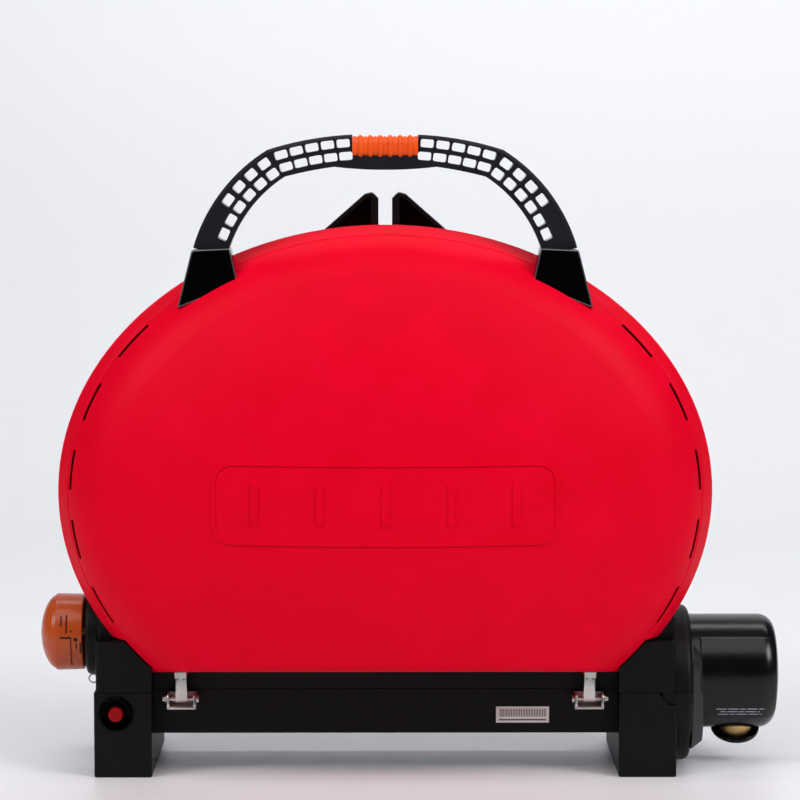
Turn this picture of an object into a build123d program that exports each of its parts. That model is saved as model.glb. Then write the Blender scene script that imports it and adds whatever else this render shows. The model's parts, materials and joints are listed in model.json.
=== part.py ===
from build123d import *
import os
from math import cos, radians, sin

os.makedirs("parts", exist_ok=True)

# A portable gas grill standing on its two feet, as it is carried and stored.
# All sizes are millimetres. The drawing uses x = 0 at the shell's centre line, y = 0 at the
# joint between lid and pan, -Y toward the lid's crown, and z = 0 at the table.

# Shell: an oval lid and pan, drawn round and then squeezed in height
oval = 0.817
shell_z = 225.5
rim = 257.0
ridge = 248.4
skirt_depth = 17.0
ledge = 1.0
shoulder_radius = 60.0
shoulder_start = 65.0
shoulder_end = 20.0
wall = 2.5
dome_foot_z = 82.5
dome_foot_draft = 9.8
dome_foot_round = 8.0
clear_of_all = 500.0
skirt_foot_z = 111.0
joint_gap = 0.5

# Pan
pan_rim = 254.0
pan_lip = 3.0
pan_wall_top = 250.0
pan_wall_foot = 240.0
pan_depth = 75.0
pan_corner = 24.0

# Base housing and feet
foot_x = 206.7
foot_width = 45.6
foot_front = -10.0
foot_back = 140.0
seam_z = 67.6
seam_gap = 0.4
bar_front = 10.0
bar_back = 108.0
bar_foot_z = 32.0
housing_half = 228.0
housing_front = -9.5
housing_back = 108.0
tower_z = 138.0
block_z = 108.0
plastic = 3.0

# Control knob, along X at the left end
control_y = 38.0
control_z = 109.0
knob_radius = 30.6
knob_back = -240.0
knob_skirt = -262.0
cap_depth = 12.8
knob_end = knob_skirt - cap_depth
bezel_radius = 34.0
bezel_front = -237.7
knob_travel = 2.0
stem_radius = 3.5
stem_clearance = 0.05

# Igniter, in the left foot's front
igniter_x = -212.0
igniter_z = 51.0
igniter_radius = 13.6
button_radius = 5.7

# Lid hinges
hinge_x = 160.7
hinge_y = -2.0
hinge_z = 61.5
leaf_width = 8.6
leaf = 2.0
pin_radius = 2.0
knuckle_radius = 3.4
fit = 0.05

# Handle: two arcs a side and a grip in the middle
arch_x = -21.0
arch_z = 383.0
arch_outer = 132.3
arch_inner = 105.3
crown_x = -12.3
crown_z = 254.2
crown_outer = 252.1
handle_back = -9.0
handle_front = -27.0
grip_half = 25.4
grip_foot_z = 489.0
grip_top_z = 505.4

# Folding front legs, behind the pan
leg_gap = 5.5
leg_root = 58.0
pivot_x = 66.0
pivot_y = 83.0
leg_front = 78.0
leg_back = 106.0
leg_foot_z = 352.0
leg_top_z = 458.0
barrel_foot_z = 358.0
barrel_top_z = 410.0
barrel_radius = 5.0
leg_wall = 3.0
leg_round = 3.0
leg_tip = ((5, 0), (11, -1.5), (0, -38))
lug = 2.5

# Gas regulator at the right end
flange_radius = 62.2
flange_y = 55.0
flange_z = 64.9
flange_start = 216.0
flange_end = 243.0
drum_radius = 45.5
drum_y = 55.0
drum_z = 74.3
drum_end = 315.5
inlet_x = 282.4
inlet_y = 60.0
inlet_z = 25.5
inlet_tilt = 30.0
inlet_radius = 13.9
collar_radius = 19.5
thread_radius = 12.2
thread_depth = 14.0

# The finished set stands with its origin at the bottom centre of its bounding box.
shoulder_drop = shoulder_radius * (sin(radians(shoulder_start)) - sin(radians(shoulder_end)))
crown_radius = (ridge - ledge - shoulder_drop) / sin(radians(shoulder_end))
shoulder_rise = shoulder_radius * (cos(radians(shoulder_end)) - cos(radians(shoulder_start)))
crown_rise = crown_radius * (1 - cos(radians(shoulder_end)))
emblem_height = 0.8
lid_depth = skirt_depth + ledge / 2 + shoulder_rise + crown_rise + emblem_height
to_origin = Pos(-(knob_end + drum_end) / 2, (lid_depth - foot_back) / 2, 0)

toward_lid = Plane(origin=(0, 0, 0), x_dir=(1, 0, 0), z_dir=(0, 0, -1))
side = {"left": -1, "right": 1}


def save(builder, name):
    """Names a finished piece, moves it to the origin and writes it."""
    piece = to_origin * builder.part
    piece.label = name
    export_step(piece, f"parts/{name}.step")


def block(x, y, z, mode=Mode.ADD):
    """A box from its three pairs of limits."""
    sizes = (x[1] - x[0], y[1] - y[0], z[1] - z[0])
    with Locations(((x[0] + x[1]) / 2, (y[0] + y[1]) / 2, (z[0] + z[1]) / 2)):
        Box(*sizes, mode=mode)


def rod(start, end, radius, mode=Mode.ADD):
    """A round bar from one point to another."""
    run = Vector(*end) - Vector(*start)
    with BuildSketch(Plane(origin=start, z_dir=run)) as section:
        Circle(radius)
    extrude(section.sketch, amount=run.length, mode=mode)


def squeezed(builder):
    """The oval piece made from a round one, at the shell's height."""
    return Pos(0, 0, shell_z) * scale(builder.part, by=(1, 1, oval), mode=Mode.PRIVATE)


def oval_prism(reach, y_from, y_to, z_from):
    """An oval bar along Y with everything under z_from cut away."""
    with BuildPart() as prism:
        with BuildSketch(Plane(origin=(0, y_from, shell_z), x_dir=(1, 0, 0), z_dir=(0, 1, 0))):
            Ellipse(reach, reach * oval)
        extrude(amount=y_to - y_from)
        split(bisect_by=Plane.XY.offset(z_from), keep=Keep.TOP)
    return prism.part


# Lid


def lid_solid(skin, skirt):
    """The lid's outer form, or the hollow under it with skin as the metal's thickness."""
    lean = Vector(sin(radians(shoulder_start)), cos(radians(shoulder_start)))
    foot = Vector(ridge - ledge, skirt_depth + ledge / 2) - lean * skin
    with BuildPart() as form:
        with BuildSketch(toward_lid):
            with BuildLine():
                shoulder = JernArc(
                    foot,
                    (-lean.Y, lean.X),
                    shoulder_radius - skin,
                    shoulder_start - shoulder_end,
                )
                crown = JernArc(shoulder @ 1, shoulder % 1, crown_radius - skin, shoulder_end)
                if skirt:
                    Polyline(
                        crown @ 1,
                        (0, 0),
                        (rim - skin, 0),
                        (ridge - skin, skirt_depth - skin / 2),
                        foot,
                    )
                else:
                    Polyline(crown @ 1, (0, 0), (foot.X, 0), foot)
            make_face()
        revolve(axis=Axis.Y)
    return form


def lid_form(skin):
    """Dome and skirt together: the skirt stops higher than the dome's foot."""
    with BuildPart() as form:
        add(squeezed(lid_solid(skin, True)))
        split(bisect_by=Plane.XY.offset(skirt_foot_z + skin), keep=Keep.TOP)
    foot_plane = Plane(origin=(0, 0, dome_foot_z + skin)).rotated((-dome_foot_draft, 0, 0))
    with BuildPart() as dome:
        add(squeezed(lid_solid(skin, False)))
        split(bisect_by=foot_plane, keep=Keep.TOP)
    whole = form.part + dome.part
    foot_edges = whole.edges().filter_by(
        lambda edge: abs(foot_plane.to_local_coords(edge @ 0.5).Z) < fit
        and (edge @ 0.5).Y < -skirt_depth - ledge
    )
    return fillet(foot_edges, dome_foot_round - skin)


lid_outside = lid_form(0)
lid_inside = lid_form(wall)

slit_radius = 245.3
slit_width = 1.9
slit_pitch = 15.65
slit_first = 143.0
slit_span = 8.6
slit_count = 5
slit_reach = 37.0
emblem_x = 133.0
emblem_z = 32.0
emblem_line = 3.0
emblem_bar = 34.0
emblem_pitch = 50.0
emblem_count = 5
emblem_start = 10.0
boss_foot_z = 82.0
boss_half = 5.0
boss_depth = 15.0

with BuildPart() as slits:
    with BuildSketch(Plane.XZ):
        for index in range(slit_count):
            start = slit_first + slit_pitch * index - slit_span / 2
            with BuildSketch(mode=Mode.PRIVATE) as slot:
                SlotArc(CenterArc((0, 0), slit_radius, start, slit_span, mode=Mode.PRIVATE), slit_width)
            add(slot.sketch)
        mirror(about=Plane.YZ)
    extrude(amount=slit_reach)

with BuildPart() as emblem:
    add(squeezed(lid_solid(-emblem_height, False)))
    with BuildSketch(Plane.XZ.offset(emblem_start)):
        with Locations((0, shell_z)):
            RectangleRounded(2 * emblem_x, 2 * emblem_z, emblem_z / 2)
            inner = 2 * emblem_line
            RectangleRounded(
                2 * emblem_x - inner, 2 * emblem_z - inner, emblem_z / 2 - emblem_line, mode=Mode.SUBTRACT
            )
            with GridLocations(emblem_pitch, 0, emblem_count, 1):
                SlotOverall(emblem_bar, emblem_line * 2, rotation=90)
    extrude(amount=lid_depth, mode=Mode.INTERSECT)

with BuildPart() as lid_shell:
    add(lid_outside)
    add(emblem.part)
    for x in (-hinge_x, hinge_x):
        block((x - boss_half, x + boss_half), (-boss_depth, -joint_gap), (boss_foot_z, dome_foot_z + wall))
    add(lid_inside, mode=Mode.SUBTRACT)
    add(squeezed(slits), mode=Mode.SUBTRACT)
    block((-clear_of_all, clear_of_all), (-joint_gap, 1), (0, clear_of_all), mode=Mode.SUBTRACT)
save(lid_shell, "lid_shell")

# Handle


def polar(centre_x, centre_z, radius, angle):
    """A point on an arc, in the handle's plane."""
    return (centre_x + radius * cos(radians(angle)), centre_z + radius * sin(radians(angle)))


handle_plane = Plane(origin=(0, handle_back, 0), x_dir=(1, 0, 0), z_dir=(0, -1, 0))
handle_depth = handle_back - handle_front
arch_end = 164.5
tenon_inset = 4.0
tenon_end = 170.5
kink_top = (-91.1, 493.7)
kink_foot = (-77.3, 473.2)
lip_start = (-39.5, 480.7)
lip_foot = (0, 478.4)
crown_inner = 317.6
lip_radius = 320.0
handle_chamfer = 2.2
hole_corner = 1.6
arch_hole = (7.2, 9.2)
arch_pitch = 6.1
arch_rows = ((123.3, 4, 125.9), (113.1, 6, 125.6))
crown_hole = (6.4, 10.2)
crown_pitch = 2.85
crown_count = 5
crown_rows = ((245.3, 94.7), (235.4, 94.4))

with BuildPart() as handle_frame:
    with BuildSketch(handle_plane):
        with BuildLine():
            grip_seat = Polyline((0, grip_foot_z), (-grip_half, grip_foot_z), (-grip_half, grip_top_z))
            top = RadiusArc(grip_seat @ 1, kink_top, -crown_outer)
            outer_end = polar(arch_x, arch_z, arch_outer, arch_end)
            inner_end = polar(arch_x, arch_z, arch_inner, arch_end)
            RadiusArc(kink_top, outer_end, -arch_outer)
            Polyline(
                outer_end,
                polar(arch_x, arch_z, arch_outer - tenon_inset, arch_end),
                polar(arch_x, arch_z, arch_outer - tenon_inset, tenon_end),
                polar(arch_x, arch_z, arch_inner + tenon_inset, tenon_end),
                polar(arch_x, arch_z, arch_inner + tenon_inset, arch_end),
                inner_end,
            )
            RadiusArc(inner_end, kink_foot, arch_inner)
            RadiusArc(kink_foot, lip_start, crown_inner)
            RadiusArc(lip_start, lip_foot, -lip_radius)
            Line(lip_foot, (0, grip_foot_z))
        make_face()
        mirror(about=Plane.YZ)
    extrude(amount=handle_depth)
    outer_edges = handle_frame.edges().filter_by(GeomType.CIRCLE).filter_by(
        lambda edge: arch_outer - 1 < edge.radius < crown_outer + 1
    )
    chamfer(outer_edges, handle_chamfer)
    with BuildSketch(handle_plane):
        for row, count, first in arch_rows:
            for index in range(count):
                angle = first + arch_pitch * index
                with Locations(Location((*polar(arch_x, arch_z, row, angle), 0), (0, 0, angle))):
                    RectangleRounded(*arch_hole, hole_corner)
        for row, first in crown_rows:
            for index in range(crown_count):
                angle = first + crown_pitch * index
                with Locations(Location((*polar(crown_x, crown_z, row, angle), 0), (0, 0, angle))):
                    RectangleRounded(*crown_hole, hole_corner)
        mirror(about=Plane.YZ)
    extrude(amount=handle_depth, mode=Mode.SUBTRACT)
    add(lid_outside, mode=Mode.SUBTRACT)
save(handle_frame, "handle_frame")

grip_proud = 1.5
grip_back = handle_back + grip_proud
grip_front = handle_front - grip_proud
grip_round = 6.0
grip_rib = 7.7
grip_rib_count = 6
grip_rib_width = 3.2
grip_rib_proud = 0.9

with BuildPart() as handle_grip:
    block((-grip_half + 0.2, grip_half - 0.2), (grip_front, grip_back), (grip_foot_z, grip_top_z - 0.4))
    fillet(handle_grip.edges().filter_by(Axis.X).group_by(Axis.Z)[-1], grip_round)
    for index in range(grip_rib_count):
        x = grip_rib * (index - (grip_rib_count - 1) / 2)
        with BuildSketch(Plane.YZ.offset(x - grip_rib_width / 2)):
            with Locations(((grip_front + grip_back) / 2, (grip_foot_z + grip_top_z) / 2 + 0.4)):
                RectangleRounded(
                    grip_back - grip_front + 2 * grip_rib_proud,
                    grip_top_z - grip_foot_z + 0.8,
                    grip_round + 0.4,
                )
        extrude(amount=grip_rib_width)
    block((-grip_half, grip_half), (-clear_of_all, clear_of_all), (0, grip_foot_z), mode=Mode.SUBTRACT)
save(handle_grip, "handle_grip")

socket_front = -33.0
socket_back = -2.0
socket_chamfer = 2.4
socket_face = ((-161, 371.5), (-149.5, 417), (-119.5, 418.4), (-113.5, 390.5))

with BuildPart() as handle_socket_left:
    with BuildSketch(Plane.XZ.offset(-socket_back)):
        with BuildLine():
            Polyline(*socket_face, close=True)
        make_face()
    extrude(amount=socket_back - socket_front)
    chamfer(handle_socket_left.edges().filter_by(Plane.XZ).group_by(Axis.Y)[0], socket_chamfer)
    add(handle_frame.part, mode=Mode.SUBTRACT)
    add(lid_outside, mode=Mode.SUBTRACT)
save(handle_socket_left, "handle_socket_left")

with BuildPart() as handle_socket_right:
    add(mirror(handle_socket_left.part, about=Plane.YZ))
save(handle_socket_right, "handle_socket_right")

# Pan and what is inside it


def pan_solid(skin):
    """The pan's outer form, or its hollow with skin as the metal's thickness."""
    with BuildPart() as form:
        with BuildSketch(Plane.XY) as section:
            with BuildLine():
                Polyline(
                    (0, 0),
                    (pan_wall_top - skin, 0),
                    (pan_wall_foot - skin, pan_depth - skin),
                    (0, pan_depth - skin),
                    close=True,
                )
            make_face()
            corner = section.vertices().group_by(Axis.Y)[-1].sort_by(Axis.X)[-1]
            fillet(corner, pan_corner - skin)
        revolve(axis=Axis.Y)
    with BuildPart() as pan:
        add(squeezed(form))
        split(bisect_by=Plane.XY.offset(dome_foot_z + skin), keep=Keep.TOP)
    return pan.part


port_radius = 8.0
port_from = -232.0
port_to = -170.0
lead_hole = 4.5
lead_x = -60.0
lead_z = 120.0
lead_y = 84.5

with BuildPart() as pan_shell:
    add(pan_solid(0))
    add(oval_prism(pan_rim, 0, pan_lip, dome_foot_z))
    add(pan_solid(wall), mode=Mode.SUBTRACT)
    port = (port_from, control_y, control_z)
    rod(port, (port_to, control_y, control_z), port_radius, mode=Mode.SUBTRACT)
    rod((lead_x, pan_depth - 15, lead_z), (lead_x, lead_y + 5, lead_z), lead_hole, mode=Mode.SUBTRACT)
save(pan_shell, "pan_shell")

grate_reach = 228.0
grate_front = 6.0
grate_back = 14.0
grate_foot_z = 100.0
grate_border = 10.0
grate_spine = 9.0
grate_gap = 0.6
grate_pitch = 15.0
grate_slot = 8.0
grate_bars = 13
grate_middle = 112.5
grate_post = 5.0

for name, sign in side.items():
    with BuildPart() as grate:
        add(oval_prism(grate_reach, grate_front, grate_back, grate_foot_z))
        other_half = (-clear_of_all, grate_gap) if sign > 0 else (-grate_gap, clear_of_all)
        block(other_half, (0, clear_of_all), (0, clear_of_all), mode=Mode.SUBTRACT)
        with BuildSketch(Plane.XZ.offset(-grate_back)) as slots:
            with Locations((sign * grate_middle, shell_z)):
                with GridLocations(grate_pitch, 0, grate_bars, 1):
                    SlotOverall(2 * grate_reach * oval, grate_slot, rotation=90)
            with BuildSketch(Plane.XZ.offset(-grate_back), mode=Mode.PRIVATE) as field:
                with Locations((0, shell_z)):
                    Ellipse(grate_reach - grate_border, (grate_reach - grate_border) * oval)
                with Locations((0, grate_foot_z)):
                    Rectangle(clear_of_all, 2 * grate_border, mode=Mode.SUBTRACT)
                with Locations((0, shell_z)):
                    Rectangle(clear_of_all, grate_spine, mode=Mode.SUBTRACT)
                    Rectangle(grate_border, clear_of_all, mode=Mode.SUBTRACT)
            add(field.sketch, mode=Mode.INTERSECT)
        extrude(slots.sketch, amount=grate_back, mode=Mode.SUBTRACT)
        for x, z in ((30, 118), (30, shell_z + 165), (185, shell_z)):
            rod((sign * x, grate_back - 1, z), (sign * x, pan_depth - wall, z), grate_post)
    save(grate, f"grate_{name}")

burner_radius = 7.0
burner_y = 42.0
burner_z = 225.0
burner_half_x = 140.0
burner_half_z = 75.0
burner_corner = 60.0

with BuildSketch(Plane.XZ.offset(-burner_y)) as burner_loop:
    with Locations((0, burner_z)):
        RectangleRounded(2 * burner_half_x, 2 * burner_half_z, burner_corner)
burner_path = burner_loop.sketch.wires()[0]

with BuildPart() as burner_tube:
    with BuildSketch(Plane(origin=burner_path @ 0, z_dir=burner_path % 0)):
        Circle(burner_radius)
    sweep(path=burner_path)
save(burner_tube, "burner_tube")

venturi_radius = 6.5
venturi_start = -198.0
venturi_rise_x = -90.0
venturi_bend = 22.0

with BuildPart() as burner_venturi:
    with BuildLine() as venturi_path:
        FilletPolyline(
            (venturi_start, control_y, control_z),
            (venturi_rise_x, control_y, control_z),
            (venturi_rise_x, burner_y, burner_z - burner_half_z),
            radius=venturi_bend,
        )
    with BuildSketch(Plane(origin=venturi_path.line @ 0, z_dir=(1, 0, 0))):
        Circle(venturi_radius)
    sweep()
    add(burner_tube.part, mode=Mode.SUBTRACT)
save(burner_venturi, "burner_venturi")

bracket_half = 9.0
bracket_thick = 6.0
bracket_pitch = 100.0

with BuildPart() as burner_brackets:
    level = burner_z + burner_half_z
    for x in (-bracket_pitch, 0, bracket_pitch):
        limits = (level - bracket_thick / 2, level + bracket_thick / 2)
        block((x - bracket_half, x + bracket_half), (burner_y, pan_depth - wall), limits)
    add(burner_tube.part, mode=Mode.SUBTRACT)
save(burner_brackets, "burner_brackets")

electrode_radius = 4.0
electrode_tip_radius = 1.0
electrode_front = 55.0
electrode_back = pan_depth + 4
spark_gap = 4.0
tip_bend = 5.0

with BuildPart() as igniter_electrode:
    rod((lead_x, electrode_front, lead_z), (lead_x, electrode_back, lead_z), electrode_radius)
save(igniter_electrode, "igniter_electrode")

with BuildPart() as electrode_tip:
    with BuildLine() as tip_path:
        FilletPolyline(
            (lead_x, electrode_front, lead_z),
            (lead_x, burner_y, lead_z),
            (lead_x, burner_y, burner_z - burner_half_z - burner_radius - spark_gap),
            radius=tip_bend,
        )
    with BuildSketch(Plane(origin=tip_path.line @ 0, z_dir=(0, -1, 0))):
        Circle(electrode_tip_radius)
    sweep()
save(electrode_tip, "electrode_tip")

# Legs that fold flat behind the pan


def leg_outline():
    """A leg's face: a square foot end by the centre line and a sloped outer edge."""
    with BuildLine() as outline:
        Polyline(
            (-leg_gap, leg_foot_z),
            (-leg_gap, leg_top_z - leg_tip[0][0]),
            (-leg_gap - leg_tip[0][0], leg_top_z),
            (-leg_gap - leg_tip[1][0], leg_top_z + leg_tip[1][1]),
            (-leg_root, leg_top_z + leg_tip[2][1]),
            (-leg_root, leg_foot_z),
            close=True,
        )
    return outline.line


with BuildPart() as leg_left:
    with BuildSketch(Plane.XZ.offset(-leg_back)) as leg_face:
        add(leg_outline())
        make_face()
    extrude(amount=leg_back - leg_front)
    fillet(leg_left.edges().filter_by(Axis.Y).group_by(Axis.Z)[-1], leg_round)
    with BuildSketch(Plane.XZ.offset(-leg_front)) as leg_hollow:
        add(offset(leg_face.sketch, amount=-leg_wall, mode=Mode.PRIVATE))
        with Locations((-leg_gap, (leg_foot_z + leg_top_z) / 2)):
            Rectangle(4 * leg_wall, 2 * leg_top_z, mode=Mode.SUBTRACT)
    extrude(amount=-(leg_back - leg_front - leg_wall), mode=Mode.SUBTRACT)
    rod((-pivot_x, pivot_y, barrel_foot_z), (-pivot_x, pivot_y, barrel_top_z), barrel_radius)
    block((-pivot_x, -leg_root + 1), (pivot_y, pivot_y + barrel_radius), (barrel_foot_z, barrel_top_z))
    bore_start = (-pivot_x, pivot_y, 0)
    rod(bore_start, (-pivot_x, pivot_y, clear_of_all), pin_radius + fit, mode=Mode.SUBTRACT)
save(leg_left, "leg_left")

with BuildPart() as leg_right:
    add(mirror(leg_left.part, about=Plane.YZ))
save(leg_right, "leg_right")

lug_gap = 0.4
lug_radius = 5.5
pivot_end = 1.5
pivot_foot_z = barrel_foot_z - lug_gap - lug - pivot_end
pivot_top_z = barrel_top_z + lug_gap + lug + pivot_end
bracket_plate = 2.0

for name, sign in side.items():
    with BuildPart() as leg_bracket:
        block(
            (sign * pivot_x - lug_radius, sign * pivot_x + lug_radius),
            (pan_depth, pan_depth + bracket_plate),
            (barrel_foot_z - lug_gap - lug, barrel_top_z + lug_gap + lug),
        )
        for foot in (barrel_foot_z - lug_gap - lug, barrel_top_z + lug_gap):
            with BuildSketch(Plane.XY.offset(foot)):
                with Locations((sign * pivot_x, pivot_y)):
                    Circle(lug_radius)
                with Locations((sign * pivot_x, (pan_depth + pivot_y) / 2)):
                    Rectangle(2 * lug_radius, pivot_y - pan_depth)
            extrude(amount=lug)
        start = (sign * pivot_x, pivot_y, 0)
        rod(start, (sign * pivot_x, pivot_y, clear_of_all), pin_radius, mode=Mode.SUBTRACT)
    save(leg_bracket, f"leg_bracket_{name}")
    with BuildPart() as leg_pivot:
        start = (sign * pivot_x, pivot_y, pivot_foot_z)
        rod(start, (sign * pivot_x, pivot_y, pivot_top_z), pin_radius)
    save(leg_pivot, f"leg_pivot_{name}")

# Base housing

lid_clearance = 2.0
pan_clearance = 1.5
tower_reach = pan_rim + pan_clearance
tower_front = 3.0
block_depth = 20.0
tower_lap = 10.0
housing_round = 6.0


def shell_space(grow):
    """The room that the pan and the closed lid take out of the housing."""
    with BuildPart() as space:
        back = pan_depth + pan_clearance + grow
        add(oval_prism(tower_reach + grow, -1 - grow, back, dome_foot_z - grow))
        front = -clear_of_all
        seat = lid_clearance + grow
        add(oval_prism(ridge + seat, front, seat, dome_foot_z - grow))
        add(oval_prism(rim + seat, front, seat, skirt_foot_z - seat))
    return space.part


def housing_form(inset):
    """The upper housing's outer form, or its hollow."""
    half = housing_half - inset
    with BuildPart() as form:
        block((-half, half), (bar_front + inset, housing_back - inset), (seam_z, tower_z - inset))
        for sign in (-1, 1):
            inner = foot_x - foot_width / 2 + inset
            limits = (-half, -inner) if sign < 0 else (inner, half)
            deep = bar_front + block_depth
            block(limits, (housing_front + inset, deep), (seam_z, block_z - inset))
            block(limits, (tower_front + inset, deep), (block_z - tower_lap, tower_z - inset))
        if inset == 0:
            fillet(form.edges().filter_by(Axis.Z).group_by(Axis.X)[0], plastic)
            top_back = form.edges().filter_by(Axis.X).group_by(Axis.Z)[-1].sort_by(Axis.Y)[-1]
            fillet(top_back, housing_round)
        add(shell_space(inset), mode=Mode.SUBTRACT)
    return form.part


flange_round = 5.0


def flange_form(z_from, z_to):
    """The round end cover of the base, between two heights."""
    with BuildPart() as form:
        rod((flange_start, flange_y, flange_z), (flange_end, flange_y, flange_z), flange_radius)
        fillet(form.edges().filter_by(GeomType.CIRCLE).group_by(Axis.X)[-1], flange_round)
        fillet(form.edges().filter_by(GeomType.CIRCLE).group_by(Axis.X)[0], plastic)
        split(bisect_by=Plane.XY.offset(z_from), keep=Keep.TOP)
        split(bisect_by=Plane.XY.offset(z_to), keep=Keep.BOTTOM)
    return form.part


screw_radius = 2.0
screw_head = 4.0
screw_post = 5.5
screw_x = 150.0
screw_y = (26.0, 100.0)
screw_depth = 10.0
screw_recess = 4.0
gas_y = 62.0
gas_z = 44.0
gas_radius = 4.0
stem_hole = 5.0
valve_room = 11.5
valve_room_from = -226.4

with BuildPart() as base_upper_housing:
    add(housing_form(0))
    add(flange_form(seam_z, 200))
    add(shell_space(0), mode=Mode.SUBTRACT)
    add(housing_form(plastic), mode=Mode.SUBTRACT)
    for x in (-screw_x, screw_x):
        for y in screw_y:
            rod((x, y, seam_z), (x, y, dome_foot_z - 2), screw_post)
            rod((x, y, seam_z), (x, y, seam_z + screw_depth), screw_radius, mode=Mode.SUBTRACT)
    inner_end = (-foot_x, control_y, control_z)
    rod((knob_back, control_y, control_z), inner_end, stem_hole, mode=Mode.SUBTRACT)
    room_end = (port_from + 2 * valve_room + lid_clearance, control_y, control_z)
    rod((valve_room_from, control_y, control_z), room_end, valve_room, mode=Mode.SUBTRACT)
    rod((lead_x, pan_depth - 5, lead_z), (lead_x, lead_y + 5, lead_z), lead_hole, mode=Mode.SUBTRACT)
save(base_upper_housing, "base_upper_housing")

foot_inner = foot_x - foot_width / 2
foot_outer = foot_x + foot_width / 2
foot_top = seam_z - seam_gap
notch_face = ((215, 80), (215.5, 67), (222, 57.5), (235, 57), (235, 80))
notch_back = 20.0
notch_depth = 31.0
igniter_hole = 9.5
foot_round = 1.5

with BuildPart() as base_lower_housing:
    for sign in (-1, 1):
        limits = (-foot_outer, -foot_inner) if sign < 0 else (foot_inner, foot_outer)
        block(limits, (foot_front, foot_back), (0, foot_top))
    fillet(base_lower_housing.edges().filter_by(Axis.Z), foot_round + 0.5)
    fillet(base_lower_housing.edges().group_by(Axis.Z)[0], foot_round)
    block((-foot_inner - 1, foot_inner + 1), (bar_front, bar_back), (bar_foot_z, foot_top))
    with BuildSketch(Plane.XZ.offset(-foot_front - notch_back - tower_lap)):
        with BuildLine():
            Polyline(*notch_face, close=True)
        make_face()
    extrude(amount=notch_depth, mode=Mode.SUBTRACT)
    add(flange_form(0, foot_top))
    for sign in (-1, 1):
        low, high = foot_inner + plastic, foot_outer - plastic
        limits = (-high, -low) if sign < 0 else (low, notch_face[0][0] - 2)
        deep = (foot_front + plastic, foot_back - plastic)
        block(limits, deep, (plastic, foot_top - plastic), mode=Mode.SUBTRACT)
        under_housing = (deep[0], housing_back - plastic)
        block(limits, under_housing, (foot_top / 2, seam_z), mode=Mode.SUBTRACT)
    inner_x = foot_inner + plastic + 1
    deep = (bar_front + plastic, bar_back - plastic)
    block((-inner_x, inner_x), deep, (bar_foot_z + plastic, seam_z), mode=Mode.SUBTRACT)
    for x in (-screw_x, screw_x):
        for y in screw_y:
            rod((x, y, bar_foot_z), (x, y, foot_top), screw_post)
            rod((x, y, 0), (x, y, bar_foot_z + screw_recess), screw_head, mode=Mode.SUBTRACT)
            rod((x, y, 0), (x, y, clear_of_all), screw_radius + fit, mode=Mode.SUBTRACT)
    start = (igniter_x, foot_front - plastic, igniter_z)
    rod(start, (igniter_x, foot_front + 3 * plastic, igniter_z), igniter_hole, mode=Mode.SUBTRACT)
    gas_hole = (flange_start - plastic, gas_y, gas_z)
    gas_end = (260.0, gas_y, gas_z)
    rod(gas_hole, gas_end, gas_radius, mode=Mode.SUBTRACT)
save(base_lower_housing, "base_lower_housing")

with BuildPart() as housing_screws:
    for x in (-screw_x, screw_x):
        for y in screw_y:
            head_top = bar_foot_z + screw_recess
            rod((x, y, head_top - plastic), (x, y, head_top), screw_head - seam_gap)
            rod((x, y, head_top), (x, y, seam_z + screw_depth - 1), screw_radius)
save(housing_screws, "housing_screws")

label_x = (87.7, 129.7)
label_z = (40.1, 53.0)
label_thick = 0.4

with BuildPart() as label_plate:
    block(label_x, (bar_front - label_thick, bar_front), label_z)
save(label_plate, "label_plate")

# Lid hinges

ear = 2.2
ear_half = 11.4
ear_front = -8.0
ear_foot = 54.0
ear_top = 66.8
ear_slope = 3.0
bracket_sheet = 2.0
leaf_front = -6.5
leaf_back = -4.5
leaf_foot = -14.0
rivet_y = -10.5
rivet_radius = 1.5
screw_step = 6.0
pin_reach_in = 13.4
pin_reach_out = 15.0
pin_head = (1.6, 3.2)
clip_wire = 0.6

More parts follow.
